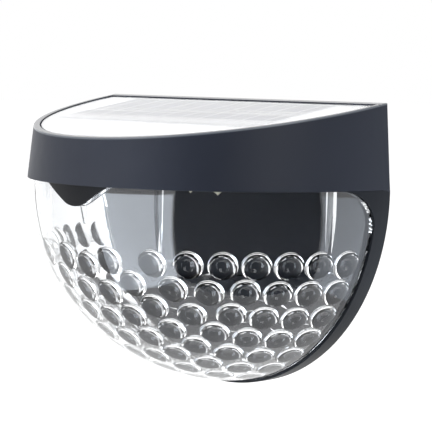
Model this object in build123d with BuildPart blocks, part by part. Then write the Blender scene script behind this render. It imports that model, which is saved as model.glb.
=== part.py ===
# Solar fence light: a quarter-round wall light with a D-shaped hood over a clear, bumped lens.
#
# Frame: millimetres, +Z up, the wall is the plane y = 0 and the light stands out of it along -Y.
# z = 0 is the seam between the hood and the housing, x = 0 is the middle of the light.
# Hood, lens and housing are all drawn about one centre, WALL_STRAIGHT in front of the wall.
from build123d import *
import os
from math import acos, asin, atan2, cos, degrees, radians, sin, sqrt

os.makedirs("parts", exist_ok=True)

# ---- overall shape ----
BODY_RADIUS = 60.0          # half the width, and the drop of the housing below the seam
WALL_STRAIGHT = 3.0         # straight run of every outline next to the wall
HOOD_LEAN = 1.7             # the hood leans in by this much from its seam to its rim
HOOD_REAR_HEIGHT = 23.75    # rim above the seam, at the wall
HOOD_FRONT_HEIGHT = 13.15   # rim above the seam, at the front
HOUSING_DEPTH = 5.0         # the housing's back shell, from the wall to the lens

# ---- wall thicknesses and clearances ----
FIT = 0.2                   # gap all round between moulded parts that slip together
HOOD_WALL = 2.4
HOOD_RIM = 1.8              # rim that stands round the solar panel
DECK = 2.0                  # floor between the lamp chamber and the electronics
BACK_WALL = 2.0
SHELL = 1.8
LENS_SET_BACK = 0.8         # the lens's smooth outside lies this far inside the hood's
LENS_WALL = 2.0
TONGUE = 1.0                # thickness of the lens's tongues
TONGUE_TOP = 2.0            # tongue that stands up inside the hood
TONGUE_REAR = 1.1           # tongue that stands into the housing's groove
TONGUE_ROOM = 1.0           # over the top tongue, which is the soft seal's height
GROOVE_FLOOR = 1.3          # wall behind the rear tongue's groove

# ---- lens pattern ----
BUMP_DIAMETER = 8.3         # of a bump where it meets the lens's inside
BUMP_CURVE = 6.0            # spherical radius of a bump
BUMP_ROWS = (3, 6, 9, 11, 14, 15, 16, 17)   # bumps on each ring about the front pole
BUMP_FIRST_DROP = 21.89     # lowest bump of the first ring, below the seam
BUMP_LAST_RING = 82.49      # last ring, degrees from the front pole
BUMP_TOP = 20.0             # the last bump of each ring lies this far below the seam
LENS_CORNER = 12.0          # rounded corner where the lens meets both hood and wall
FIN_ANGLES = (26.5, 75.5)   # degrees to each side of the front
FIN_DEPTH = 3.6
FIN_THICKNESS = 1.2
FIN_LENGTH = 17.0

# ---- front tab, which fills a notch in the lens ----
TAB_HALF_WIDTH = 12.6
TAB_SLOPE = 0.57
TAB_TIP_RADIUS = 9.3
TAB_STEP = 0.4              # the tab lies this far inside the hood's outline

# ---- solar panel, all depths measured square to the sloping rim ----
PANEL_DEPTH = 0.8           # from the rim down to the panel
COVER_SHEET = 1.2
CELL_THICKNESS = 0.25
PANEL_BOARD = 1.2
ADHESIVE = 0.5
LEDGE = 1.5
LEDGE_WIDTH = 3.5
PANEL_REAR_RIM = 2.4
BACK_TOP_DROP = 1.3         # from the ledge down to the top of the housing's back wall
CELL_COUNT = 5
CELL_PITCH = 17.0
CELL_GAP = 0.4
CELL_LENGTH = 32.0
CELLS_FROM_WALL = 4.0
PANEL_GAP = 0.35            # shadow gap between the panel and the rim
ADHESIVE_WIDTH = 2.6

# ---- battery bay: one AAA cell lying along X behind the back wall ----
CELL_RADIUS = 5.25
CELL_OVERALL = 44.5
NUB_RADIUS = 1.9
NUB_LENGTH = 0.8
SLEEVE = 0.2
BAY_Z = 9.2
BAY_HALF_LENGTH = 26.5
BAY_HALF_HEIGHT = 5.4
BAY_DEPTH = 16.0            # from the wall to the bay's front wall
BAY_WALL = 1.4
SADDLE = 1.2
SADDLE_X = (-16.0, 0.0, 12.0)
SADDLE_INSET = 1.0          # on each side of the cell's width
CONTACT = 0.4
CONTACT_SIZE = 9.0
SPRING_WIRE = 0.7
SPRING_TIP = 2.0            # outer radius where it presses on the cell
SPRING_RADIUS = 3.6         # outer radius at its contact
COVER_HALF_LENGTH = 33.2
COVER_HALF_HEIGHT = 6.6
COVER_CORNER = 2.5
COVER_SET_BACK = 0.3        # the cover lies below the wall plane
SEAL_DEPTH = 0.6
SEAL_WIDTH = 1.6
EDGE_BREAK = 0.3
COLLAR = 4.4                # from the wall to the inside of the collar round the bay's mouth
COVER_SCREW_X = 30.2
COVER_SCREW_DEPTH = 7.6     # of its pilot hole, from the wall plane
SEAL_LAND = 1.4             # width of the cover's seal

# ---- keyholes for two wall screws ----
KEYHOLE_INSET = 10.0        # from the light's side to the keyhole's middle
KEYHOLE_Z = 7.0
KEYHOLE_RADIUS = 4.25
KEYHOLE_SLOT = 4.6
KEYHOLE_RISE = 5.6
POCKET_HALF_WIDTH = 4.9
POCKET_WALL = 1.0
POCKET_BOTTOM = 2.6
POCKET_TOP = 15.4
POCKET_DEPTH = 6.5

# ---- slide switch ----
SWITCH_X = -39.2            # middle of the travel
SWITCH_Z = 9.2
SWITCH_TRAVEL = 2.0
SWITCH_WINDOW = (9.0, 6.4)
SWITCH_RECESS = 3.0
SWITCH_FLOOR = 1.2
KNOB_PAD = (4.0, 4.4)
KNOB_STEM = 1.9
KNOB_CORNER = 0.5
KNOB_SET_BACK = 0.6
GRIP_COUNT = 3
GRIP_PITCH = 1.0
STEM_DEPTH = 1.6            # how far the stem reaches into the switch
SWITCH_BODY = (8.5, 4.4, 4.2)

# ---- boards, lamps and screws ----
BOARD = 1.6
DRIVER_CHIP = (4.4, 1.5, 3.4)
INDUCTOR = (3.0, 3.6)       # radius and height
INDUCTOR_CORE = 2.1
CAPACITOR = (2.0, 5.0)      # radius and height
CHIP_SPOT = (-1.0, 2.6)     # places on the control board, from its middle
INDUCTOR_SPOT = (-8.0, -1.5)
CAPACITOR_SPOT = (0.0, -3.0)
CONTROL_BOARD = (24.4, 13.0)
CONTROL_BOARD_X = -41.8
CONTROL_BOARD_Z = 9.4
LED_BOARD = (74.0, 9.0)
LED_COUNT = 6
LED_PITCH = 11.0
LED_Y = -34.0
LED_RADIUS = 2.4
LED_FLANGE = (2.8, 1.0)     # radius and thickness
LED_DOME = 1.2              # height of the rounded end
LED_DROP = 2.2              # how far each lamp's dome hangs below the deck
LED_SCREW_X = 33.2
BOARD_SCREW_X = -35.0
BOARD_SCREW_RISE = 4.7
BOSS_RADIUS = 2.1
RIB = 1.2
RIB_PITCH = 18.0
RIB_COUNT = 5
HOOD_SCREW_ANGLES = (32.0, 64.0)
HOOD_SCREW_INSET = 7.5      # from the hood's outside to its screws
HOOD_SCREW_SEAT = 8.8
HOOD_SCREW_LENGTH = 5.8
HOOD_POST_TOP = 6.0
POST_RADIUS = 3.0           # of the tray's posts under the hood screws
BOSS_OUTER = 3.5            # of the hood's bosses round those screws
HEAD_RADIUS = 2.3
HEAD_HEIGHT = 1.6
SHANK_RADIUS = 1.1
SMALL_SHANK = 0.8
SMALL_HEAD = (1.7, 1.2)     # radius and height
SMALL_SCREW_LENGTH = 3.4
PILOT = 0.05                # radial room round a screw's core in its pilot hole
WIRE_RADIUS = 0.5
WIRE_BEND = 2.0
PANEL_WIRES_X = (-47.5, -49.5)
PANEL_WIRE_Y = -14.0
PANEL_WIRE_Z = 13.4
LAMP_WIRES_X = (-30.4, -32.2)
LAMP_WIRE_Y = -30.8

# ---- sizes that follow ----
CENTRE = (0, -WALL_STRAIGHT, 0)
HOOD_TOP_RADIUS = BODY_RADIUS - HOOD_LEAN
LENS_OUTER = BODY_RADIUS - LENS_SET_BACK
LENS_INNER = LENS_OUTER - LENS_WALL
TONGUE_OUTER = LENS_INNER + TONGUE
DECK_RADIUS = TONGUE_OUTER
REBATE = TONGUE_OUTER + FIT
REBATE_HEIGHT = TONGUE_TOP + TONGUE_ROOM
FRONT_REACH = WALL_STRAIGHT + HOOD_TOP_RADIUS
RIM_SLOPE = (HOOD_REAR_HEIGHT - HOOD_FRONT_HEIGHT) / FRONT_REACH
RIM_ANGLE = degrees(atan2(RIM_SLOPE, 1))
STRETCH = 1 / cos(radians(RIM_ANGLE))     # a level circle's length when laid on the slope
POCKET_FLOOR = PANEL_DEPTH + COVER_SHEET + CELL_THICKNESS + PANEL_BOARD + ADHESIVE
LEDGE_BOTTOM = POCKET_FLOOR + LEDGE
BACK_TOP = HOOD_REAR_HEIGHT - LEDGE_BOTTOM - BACK_TOP_DROP
GROOVE_INNER = sqrt(LENS_INNER**2 - (HOUSING_DEPTH - WALL_STRAIGHT)**2) - FIT
GROOVE_BACK = HOUSING_DEPTH - TONGUE_REAR - FIT - GROOVE_FLOOR
BAY_Y = -(COLLAR + BAY_DEPTH) / 2
SWITCH_BODY_Y = SWITCH_RECESS + SWITCH_FLOOR + FIT
CONTROL_BOARD_Y = SWITCH_BODY_Y + SWITCH_BODY[2]
SWITCH_SLOT = (SWITCH_TRAVEL + KNOB_STEM + 3 * FIT, KNOB_STEM + 3 * FIT)
LED_BOARD_Z = DECK + LED_FLANGE[1]
KEYHOLES_X = (KEYHOLE_INSET - BODY_RADIUS, BODY_RADIUS - KEYHOLE_INSET)
COVER_SCREW_SPOTS = [(-COVER_SCREW_X, BAY_Z), (COVER_SCREW_X, BAY_Z)]
BOARD_SCREW_SPOTS = [(BOARD_SCREW_X, CONTROL_BOARD_Z - BOARD_SCREW_RISE),
                     (BOARD_SCREW_X, CONTROL_BOARD_Z + BOARD_SCREW_RISE)]
LED_SCREW_SPOTS = [(-LED_SCREW_X, LED_Y), (LED_SCREW_X, LED_Y)]
TRAY_BACK = HOUSING_DEPTH + FIT
FAR = 200.0                 # larger than the light, for cuts that run right through
PAST = 1.0                  # how far a cut runs past the face that it opens


def back_half_width(height):
    """Half the width of the housing's back wall, which leans in like the hood round it."""
    lean = (BODY_RADIUS - HOOD_TOP_RADIUS) / HOOD_REAR_HEIGHT
    return BODY_RADIUS - HOOD_WALL - FIT - lean * height


RIM = Plane(
    origin=(0, 0, HOOD_REAR_HEIGHT),
    x_dir=(1, 0, 0),
    z_dir=(0, -sin(radians(RIM_ANGLE)), cos(radians(RIM_ANGLE))),
)


def d_outline(plane, radius, back=0.0, stretch=1.0):
    """The D outline: a half circle about the shared centre, closed by a straight back edge."""
    middle = -WALL_STRAIGHT * stretch
    with BuildSketch(plane) as outline:
        with BuildLine():
            Polyline((-radius, middle), (-radius, -back), (radius, -back), (radius, middle))
            EllipticalCenterArc((0, middle), radius, radius * stretch, start_angle=180, arc_size=180)
        make_face()
    return outline.sketch


def d_segment(plane, radius, back, stretch=1.0):
    """The D outline for insets whose back edge lies in front of the shared centre."""
    with BuildSketch(plane) as outline:
        with Locations((0, -WALL_STRAIGHT * stretch)):
            Ellipse(radius, radius * stretch)
        with Locations((0, -back * stretch)):
            Rectangle(FAR, FAR, align=(Align.CENTER, Align.MIN), mode=Mode.SUBTRACT)
    return outline.sketch


def ring_point(radius, angle):
    """A point on a level circle about the shared centre, by its angle from the front."""
    return (radius * sin(radians(angle)), -WALL_STRAIGHT - radius * cos(radians(angle)))


def both_sides(angles):
    return [side * angle for angle in angles for side in (-1, 1)]


HOOD_SCREW_SPOTS = [ring_point(BODY_RADIUS - HOOD_SCREW_INSET, a) for a in both_sides(HOOD_SCREW_ANGLES)]


def lens_side_profile(clearance=0.0):
    """Side view of the lens: rear edge, top edge and the rounded corner between them."""
    with BuildSketch(Plane.YZ) as side:
        with Locations((-HOUSING_DEPTH + clearance, clearance)):
            Rectangle(FAR, FAR, align=(Align.MAX, Align.MAX))
        corner = side.vertices().group_by(Axis.X)[-1].sort_by(Axis.Y)[-1]
        fillet(corner, LENS_CORNER + clearance)
    return side.sketch


def tab_profile(clearance=0.0):
    """Front view of the tab: a bell that hangs below the seam."""
    with BuildSketch(Plane.XZ) as bell:
        with BuildLine():
            FilletPolyline(
                (-TAB_HALF_WIDTH, 0),
                (0, -TAB_HALF_WIDTH * TAB_SLOPE),
                (TAB_HALF_WIDTH, 0),
                radius=TAB_TIP_RADIUS,
            )
            Polyline(
                (TAB_HALF_WIDTH, 0),
                (TAB_HALF_WIDTH, REBATE_HEIGHT),
                (-TAB_HALF_WIDTH, REBATE_HEIGHT),
                (-TAB_HALF_WIDTH, 0),
            )
        make_face()
        if clearance:
            offset(amount=clearance, kind=Kind.INTERSECTION)
    return bell.sketch


# ---- hood: the D-shaped band with the panel's frame ----
HOOD_INNER = BODY_RADIUS - HOOD_WALL
HOOD_INNER_TOP = HOOD_TOP_RADIUS - HOOD_WALL

with BuildPart() as hood_hollow:
    loft([d_outline(Plane.XY, HOOD_INNER, back=-PAST),
          d_outline(RIM, HOOD_INNER_TOP, back=-PAST, stretch=STRETCH)], ruled=True)
    split(bisect_by=RIM.offset(-LEDGE_BOTTOM), keep=Keep.BOTTOM)

with BuildPart() as screw_bosses:
    with BuildSketch(Plane.XY.offset(HOOD_POST_TOP + FIT)):
        with Locations(*HOOD_SCREW_SPOTS):
            Circle(BOSS_OUTER)
    extrude(amount=HOOD_REAR_HEIGHT)
    split(bisect_by=RIM.offset(-POCKET_FLOOR), keep=Keep.BOTTOM)

with BuildPart() as hood:
    loft([d_outline(Plane.XY, BODY_RADIUS), d_outline(RIM, HOOD_TOP_RADIUS, stretch=STRETCH)],
         ruled=True)
    add(hood_hollow.part, mode=Mode.SUBTRACT)
    # the rebate that the lens's tongue, the deck and the seal stand in
    extrude(d_outline(Plane.XY, REBATE, back=-PAST), amount=REBATE_HEIGHT, mode=Mode.SUBTRACT)
    # the panel's pocket and the window through its ledge
    extrude(d_outline(RIM, HOOD_TOP_RADIUS - HOOD_RIM, PANEL_REAR_RIM, STRETCH),
            amount=-POCKET_FLOOR, mode=Mode.SUBTRACT)
    extrude(d_segment(RIM, HOOD_TOP_RADIUS - HOOD_RIM - LEDGE_WIDTH,
                      PANEL_REAR_RIM + LEDGE_WIDTH, STRETCH),
            amount=-LEDGE_BOTTOM - PAST, mode=Mode.SUBTRACT)
    # the rear rim comes down to the housing's back wall
    with Locations((0, 0, BACK_TOP + FIT)):
        Box(2 * HOOD_INNER_TOP, BACK_WALL, LEDGE, align=(Align.CENTER, Align.MAX, Align.MIN))
    add(screw_bosses.part)
    with Locations(*[(x, y, HOOD_SCREW_SEAT) for x, y in HOOD_SCREW_SPOTS]):
        Cylinder(HEAD_RADIUS + FIT, FAR / 4, align=(Align.CENTER, Align.CENTER, Align.MIN),
                 mode=Mode.SUBTRACT)
        Cylinder(SHANK_RADIUS + FIT, FAR / 4, align=(Align.CENTER, Align.CENTER, Align.MAX),
                 mode=Mode.SUBTRACT)
hood.part.label = "hood"
export_step(hood.part, "parts/hood.step")


# ---- lens: a clear quarter sphere, smooth outside, with rings of bumps on its inside ----
BUMP_FOOT = BUMP_DIAMETER / 2
BUMP_CENTRE = sqrt(LENS_INNER**2 - BUMP_FOOT**2) + sqrt(BUMP_CURVE**2 - BUMP_FOOT**2)
BUMP_NECK = BUMP_FOOT + 0.02    # the bump's root, just inside the lens's wall


def bump_places():
    """Axes through the shared centre for all bumps, ring by ring about the front pole."""
    places = []
    first = asin(BUMP_FIRST_DROP / LENS_INNER)
    step = (radians(BUMP_LAST_RING) - first) / (len(BUMP_ROWS) - 1)
    for ring, count in enumerate(BUMP_ROWS):
        polar = first + ring * step
        swing = degrees(acos(BUMP_TOP / (LENS_INNER * sin(polar))))
        for bump in range(count):
            turn = radians(-swing + 2 * swing * bump / (count - 1))
            outward = (sin(polar) * sin(turn), -cos(polar), -sin(polar) * cos(turn))
            places.append(Plane(origin=CENTRE, z_dir=outward).location)
    return places


with BuildPart() as bump:
    # a dome that looks inward, on a short root that sinks into the wall
    with Locations(Location((0, 0, BUMP_CENTRE), (90, 0, 0))):
        Sphere(BUMP_CURVE)
    Cylinder(BUMP_NECK, LENS_INNER + LENS_WALL / 2, align=(Align.CENTER, Align.CENTER, Align.MIN),
             mode=Mode.INTERSECT)

with BuildPart() as fins:
    # upright fins that stand inward from the lens's wall
    with Locations(*[Location((*ring_point(LENS_INNER - FIN_DEPTH, angle), -FIT / 2), (0, 0, angle))
                     for angle in both_sides(FIN_ANGLES)]):
        Box(FIN_THICKNESS, 2 * FIN_DEPTH, FIN_LENGTH, align=(Align.CENTER, Align.MAX, Align.MAX))
    with Locations(CENTRE):
        Sphere(LENS_OUTER - LENS_WALL / 2, mode=Mode.INTERSECT)

with BuildPart() as lens:
    with Locations(CENTRE):
        Sphere(LENS_OUTER)
        Sphere(LENS_INNER, mode=Mode.SUBTRACT)
    extrude(lens_side_profile(), amount=FAR, both=True, mode=Mode.INTERSECT)
    with Locations(*bump_places()):
        add(bump.part)
    add(fins.part)
    # top tongue, between the hood and the deck
    with BuildSketch() as top_tongue:
        with Locations((0, -WALL_STRAIGHT)):
            Circle(TONGUE_OUTER)
            Circle(LENS_INNER, mode=Mode.SUBTRACT)
        with Locations((0, -HOUSING_DEPTH - LENS_CORNER)):
            Rectangle(FAR, FAR, align=(Align.CENTER, Align.MIN), mode=Mode.SUBTRACT)
    extrude(amount=TONGUE_TOP)
    # rear tongue, in the housing's groove
    with BuildSketch(Plane.XZ.offset(HOUSING_DEPTH)) as rear_tongue:
        Circle(TONGUE_OUTER)
        Circle(sqrt(LENS_INNER**2 - (HOUSING_DEPTH - WALL_STRAIGHT)**2), mode=Mode.SUBTRACT)
        with Locations((0, -LENS_CORNER)):
            Rectangle(FAR, FAR, align=(Align.CENTER, Align.MIN), mode=Mode.SUBTRACT)
    extrude(amount=-TONGUE_REAR)
    extrude(tab_profile(FIT / 2), amount=FAR, mode=Mode.SUBTRACT)
lens.part.label = "lens"
export_step(lens.part, "parts/lens.step")


# ---- housing: back shell and back wall, with all that opens to the wall side ----
with BuildPart() as shoulders:
    # the corner webs that fill the space behind the lens's rounded corners
    with Locations(CENTRE):
        Sphere(BODY_RADIUS)
        Sphere(LENS_INNER, mode=Mode.SUBTRACT)
    extrude(lens_side_profile(FIT / 2), amount=FAR, both=True, mode=Mode.SUBTRACT)
    with Locations((0, -WALL_STRAIGHT / 2, 0)):
        Box(FAR, FAR, LENS_CORNER + PAST, align=(Align.CENTER, Align.MAX, Align.MAX),
            mode=Mode.INTERSECT)

with BuildPart() as housing:
    # back shell: a half disc whose edge follows the shared sphere, hollowed from behind
    with Locations(CENTRE):
        Sphere(BODY_RADIUS)
    Box(FAR, HOUSING_DEPTH, FAR, align=(Align.CENTER, Align.MAX, Align.MAX), mode=Mode.INTERSECT)
    with BuildSketch(Plane.XZ) as rear_hollow:
        Circle(BODY_RADIUS - SHELL)
        with Locations((0, -DECK)):
            Rectangle(FAR, FAR, align=(Align.CENTER, Align.MIN), mode=Mode.SUBTRACT)
    extrude(amount=GROOVE_BACK, mode=Mode.SUBTRACT)
    with BuildSketch(Plane.XZ) as rear_hollow_middle:
        Circle(GROOVE_INNER - SHELL)
        with Locations((0, -DECK)):
            Rectangle(FAR, FAR, align=(Align.CENTER, Align.MIN), mode=Mode.SUBTRACT)
    extrude(amount=HOUSING_DEPTH - SHELL, mode=Mode.SUBTRACT)
    # stiffening ribs across the hollow
    with BuildSketch(Plane.XZ) as ribs:
        with Locations((0, -BODY_RADIUS / 2)):
            with GridLocations(RIB_PITCH, 0, RIB_COUNT, 1):
                Rectangle(RIB, BODY_RADIUS)
        with Locations((0, -RIB_PITCH), (0, -2 * RIB_PITCH)):
            Rectangle(2 * BODY_RADIUS, RIB)
        Circle(BODY_RADIUS - SHELL / 2, mode=Mode.INTERSECT)
    extrude(amount=HOUSING_DEPTH - SHELL / 2)
    add(shoulders.part)
    # groove for the lens's rear tongue
    with BuildSketch(Plane.XZ.offset(HOUSING_DEPTH)) as groove:
        Circle(TONGUE_OUTER + FIT)
        Circle(GROOVE_INNER, mode=Mode.SUBTRACT)
        with Locations((0, -LENS_CORNER + FIT)):
            Rectangle(FAR, FAR, align=(Align.CENTER, Align.MIN), mode=Mode.SUBTRACT)
    extrude(amount=-TONGUE_REAR - FIT, mode=Mode.SUBTRACT)
    # top strip, level with the lamp tray in front of it
    Box(2 * DECK_RADIUS, HOUSING_DEPTH, DECK, align=(Align.CENTER, Align.MAX, Align.MIN))
    # back wall, tapered like the inside of the hood
    with BuildSketch(Plane.XZ) as back_wall:
        with BuildLine():
            Polyline((-back_half_width(0), 0), (back_half_width(0), 0),
                     (back_half_width(BACK_TOP), BACK_TOP), (-back_half_width(BACK_TOP), BACK_TOP),
                     close=True)
        make_face()
    extrude(amount=BACK_WALL)
    with BuildSketch(Plane.XY) as deck_edge:
        Rectangle(2 * DECK_RADIUS, 2 * HOUSING_DEPTH)
        with Locations((0, -WALL_STRAIGHT)):
            Circle(DECK_RADIUS, mode=Mode.SUBTRACT)
        with Locations((0, -WALL_STRAIGHT)):
            Rectangle(FAR, FAR, align=(Align.CENTER, Align.MIN), mode=Mode.SUBTRACT)
    extrude(amount=DECK, mode=Mode.SUBTRACT)
    # collar round the battery's way in
    Box(2 * (COVER_HALF_LENGTH + FIT + BAY_WALL), COLLAR, BACK_TOP,
        align=(Align.CENTER, Align.MAX, Align.MIN))
    # keyhole pockets, which stand on the lamp tray, switch recess and bosses, before their holes
    with Locations(*[(x, 0, DECK) for x in KEYHOLES_X]):
        Box(2 * (POCKET_HALF_WIDTH + POCKET_WALL), POCKET_DEPTH + POCKET_WALL,
            POCKET_TOP + POCKET_WALL - DECK, align=(Align.CENTER, Align.MAX, Align.MIN))
    with Locations((SWITCH_X, 0, SWITCH_Z)):
        Box(SWITCH_WINDOW[0] + 2 * SWITCH_FLOOR, SWITCH_RECESS + SWITCH_FLOOR,
            SWITCH_WINDOW[1] + 2 * SWITCH_FLOOR, align=(Align.CENTER, Align.MAX, Align.CENTER))
    with BuildSketch(Plane.XZ.offset(BACK_WALL / 2)):
        with Locations(*COVER_SCREW_SPOTS):
            Circle(BOSS_RADIUS)
    extrude(amount=COVER_SCREW_DEPTH + POCKET_WALL - BACK_WALL / 2)
    with BuildSketch(Plane.XZ.offset(BACK_WALL / 2)):
        with Locations(*BOARD_SCREW_SPOTS):
            Circle(BOSS_RADIUS)
    extrude(amount=CONTROL_BOARD_Y - BACK_WALL / 2)
    # the battery's way in, with its cover's seat and the seal's groove
    with BuildSketch(Plane.XZ):
        with Locations((0, BAY_Z)):
            RectangleRounded(2 * (COVER_HALF_LENGTH + FIT), 2 * (COVER_HALF_HEIGHT + FIT),
                             COVER_CORNER + FIT)
    extrude(amount=BACK_WALL, mode=Mode.SUBTRACT)
    with BuildSketch(Plane.XZ.offset(BACK_WALL)):
        with Locations((0, BAY_Z)):
            RectangleRounded(2 * (BAY_HALF_LENGTH + SEAL_LAND), 2 * (BAY_HALF_HEIGHT + SEAL_LAND),
                             SEAL_LAND)
    extrude(amount=SEAL_DEPTH, mode=Mode.SUBTRACT)
    with Locations((0, 0, BAY_Z)):
        Box(2 * BAY_HALF_LENGTH, COLLAR + PAST, 2 * BAY_HALF_HEIGHT,
            align=(Align.CENTER, Align.MAX, Align.CENTER), mode=Mode.SUBTRACT)
    # keyholes with the room for a screw's head behind them
    with Locations(*[(x, -BACK_WALL, POCKET_BOTTOM) for x in KEYHOLES_X]):
        Box(2 * POCKET_HALF_WIDTH, POCKET_DEPTH - BACK_WALL, POCKET_TOP - POCKET_BOTTOM,
            align=(Align.CENTER, Align.MAX, Align.MIN), mode=Mode.SUBTRACT)
    with BuildSketch(Plane.XZ):
        with Locations(*[(x, KEYHOLE_Z) for x in KEYHOLES_X]):
            Circle(KEYHOLE_RADIUS)
            Rectangle(KEYHOLE_SLOT, KEYHOLE_RISE, align=(Align.CENTER, Align.MIN))
        with Locations(*[(x, KEYHOLE_Z + KEYHOLE_RISE) for x in KEYHOLES_X]):
            Circle(KEYHOLE_SLOT / 2)
    extrude(amount=BACK_WALL, mode=Mode.SUBTRACT)
    # switch recess and the slot that its knob slides in
    with Locations((SWITCH_X, 0, SWITCH_Z)):
        Box(SWITCH_WINDOW[0], SWITCH_RECESS, SWITCH_WINDOW[1],
            align=(Align.CENTER, Align.MAX, Align.CENTER), mode=Mode.SUBTRACT)
        Box(SWITCH_SLOT[0], SWITCH_RECESS + SWITCH_FLOOR, SWITCH_SLOT[1],
            align=(Align.CENTER, Align.MAX, Align.CENTER), mode=Mode.SUBTRACT)
    # pilot holes for the cover's and the control board's screws
    with BuildSketch(Plane.XZ):
        with Locations(*COVER_SCREW_SPOTS):
            Circle(SHANK_RADIUS + PILOT)
    extrude(amount=COVER_SCREW_DEPTH, mode=Mode.SUBTRACT)
    with BuildSketch(Plane.XZ.offset(CONTROL_BOARD_Y)):
        with Locations(*BOARD_SCREW_SPOTS):
            Circle(SMALL_SHANK + PILOT)
    extrude(amount=-SMALL_SCREW_LENGTH + BOARD - PILOT, mode=Mode.SUBTRACT)
housing.part.label = "housing"
export_step(housing.part, "parts/housing.step")

# ---- lamp tray: the floor under the electronics, with the front tab and the battery's bay ----
with BuildPart() as tab_shell:
    with Locations(CENTRE):
        Sphere(BODY_RADIUS - TAB_STEP)
        Sphere(LENS_INNER - TONGUE, mode=Mode.SUBTRACT)
    Box(FAR, FAR, FAR, align=(Align.CENTER, Align.CENTER, Align.MAX), mode=Mode.INTERSECT)

with BuildPart() as tab:
    extrude(tab_profile(), amount=FAR)
    add(tab_shell.part, mode=Mode.INTERSECT)

with BuildPart() as saddles:
    # three ribs that cradle the battery
    with Locations(*[(x, BAY_Y, DECK) for x in SADDLE_X]):
        Box(SADDLE, 2 * (CELL_RADIUS - SADDLE_INSET), BAY_Z - CELL_RADIUS / 2 - DECK / 2,
            align=(Align.CENTER, Align.CENTER, Align.MIN))
    with Locations(Location((0, BAY_Y, BAY_Z), (0, 90, 0))):
        Cylinder(CELL_RADIUS + FIT / 2, FAR, mode=Mode.SUBTRACT)

with BuildPart() as lamp_tray:
    extrude(d_segment(Plane.XY, DECK_RADIUS, TRAY_BACK), amount=DECK)
    # cut back where the lens's top tongue stands
    with BuildSketch() as tongue_room:
        with Locations((0, -WALL_STRAIGHT)):
            Circle(BODY_RADIUS)
            Circle(LENS_INNER - FIT, mode=Mode.SUBTRACT)
        with Locations((0, -HOUSING_DEPTH - LENS_CORNER + FIT)):
            Rectangle(FAR, FAR, align=(Align.CENTER, Align.MIN), mode=Mode.SUBTRACT)
        Rectangle(2 * TAB_HALF_WIDTH, FAR, mode=Mode.SUBTRACT)
    extrude(amount=DECK, mode=Mode.SUBTRACT)
    add(tab.part)
    # battery bay: front wall and end walls, closed behind by the housing's collar
    with Locations((0, -TRAY_BACK, 0)):
        Box(2 * (BAY_HALF_LENGTH + BAY_WALL), BAY_DEPTH + BAY_WALL - TRAY_BACK,
            BAY_Z + BAY_HALF_HEIGHT, align=(Align.CENTER, Align.MAX, Align.MIN))
    with Locations((0, -COLLAR, DECK)):
        Box(2 * BAY_HALF_LENGTH, BAY_DEPTH - COLLAR, FAR,
            align=(Align.CENTER, Align.MAX, Align.MIN), mode=Mode.SUBTRACT)
    add(saddles.part)
    # posts for the hood's screws and bosses for the lamp board's
    with BuildSketch(Plane.XY.offset(DECK / 2)):
        with Locations(*HOOD_SCREW_SPOTS):
            Circle(POST_RADIUS)
    extrude(amount=HOOD_POST_TOP - DECK / 2)
    with BuildSketch(Plane.XY.offset(DECK / 2)):
        with Locations(*LED_SCREW_SPOTS):
            Circle(BOSS_RADIUS)
    extrude(amount=DECK / 2 + LED_FLANGE[1])
    with BuildSketch(Plane.XY.offset(HOOD_POST_TOP)):
        with Locations(*HOOD_SCREW_SPOTS):
            Circle(SHANK_RADIUS + PILOT)
    extrude(amount=HOOD_SCREW_SEAT - HOOD_POST_TOP - HOOD_SCREW_LENGTH - FIT, mode=Mode.SUBTRACT)
    with BuildSketch(Plane.XY.offset(LED_BOARD_Z)):
        with Locations(*LED_SCREW_SPOTS):
            Circle(SMALL_SHANK + PILOT)
    extrude(amount=-SMALL_SCREW_LENGTH + BOARD - PILOT, mode=Mode.SUBTRACT)
    # the lamps look down through the tray
    with Locations((0, LED_Y, 0)):
        with GridLocations(LED_PITCH, 0, LED_COUNT, 1):
            Cylinder(LED_RADIUS + FIT, 2 * (DECK + PAST), mode=Mode.SUBTRACT)
lamp_tray.part.label = "lamp_tray"
export_step(lamp_tray.part, "parts/lamp_tray.step")

with BuildPart() as perimeter_seal:
    # soft cord on the deck's edge, pressed down by the step inside the hood
    with BuildSketch(Plane.XY.offset(DECK)):
        with Locations((0, -WALL_STRAIGHT)):
            Circle(DECK_RADIUS)
            Circle(DECK_RADIUS - SEAL_WIDTH, mode=Mode.SUBTRACT)
        with Locations((0, -BACK_WALL - FIT)):
            Rectangle(FAR, FAR, align=(Align.CENTER, Align.MIN), mode=Mode.SUBTRACT)
    extrude(amount=REBATE_HEIGHT - DECK)
perimeter_seal.part.label = "perimeter_seal"
export_step(perimeter_seal.part, "parts/perimeter_seal.step")


# ---- solar panel: clear sheet, cells and board, glued on the hood's ledge ----
def panel_outline(depth, inset):
    """The panel's outline at a depth below the rim, inset from the pocket's wall."""
    return d_outline(RIM.offset(-depth), HOOD_TOP_RADIUS - HOOD_RIM - inset,
                     PANEL_REAR_RIM + inset, STRETCH)


with BuildPart() as panel_cover:
    extrude(panel_outline(PANEL_DEPTH, PANEL_GAP), amount=-COVER_SHEET)
panel_cover.part.label = "panel_cover"
export_step(panel_cover.part, "parts/panel_cover.step")

with BuildPart() as solar_cells:
    with BuildSketch(RIM.offset(-PANEL_DEPTH - COVER_SHEET)):
        with Locations((0, -CELLS_FROM_WALL - CELL_LENGTH / 2)):
            with GridLocations(CELL_PITCH, 0, CELL_COUNT, 1):
                Rectangle(CELL_PITCH - CELL_GAP, CELL_LENGTH)
    extrude(amount=-CELL_THICKNESS)
solar_cells.part.label = "solar_cells"
export_step(solar_cells.part, "parts/solar_cells.step")

with BuildPart() as panel_board:
    extrude(panel_outline(PANEL_DEPTH + COVER_SHEET + CELL_THICKNESS, PANEL_GAP),
            amount=-PANEL_BOARD)
panel_board.part.label = "panel_board"
export_step(panel_board.part, "parts/panel_board.step")

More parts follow.
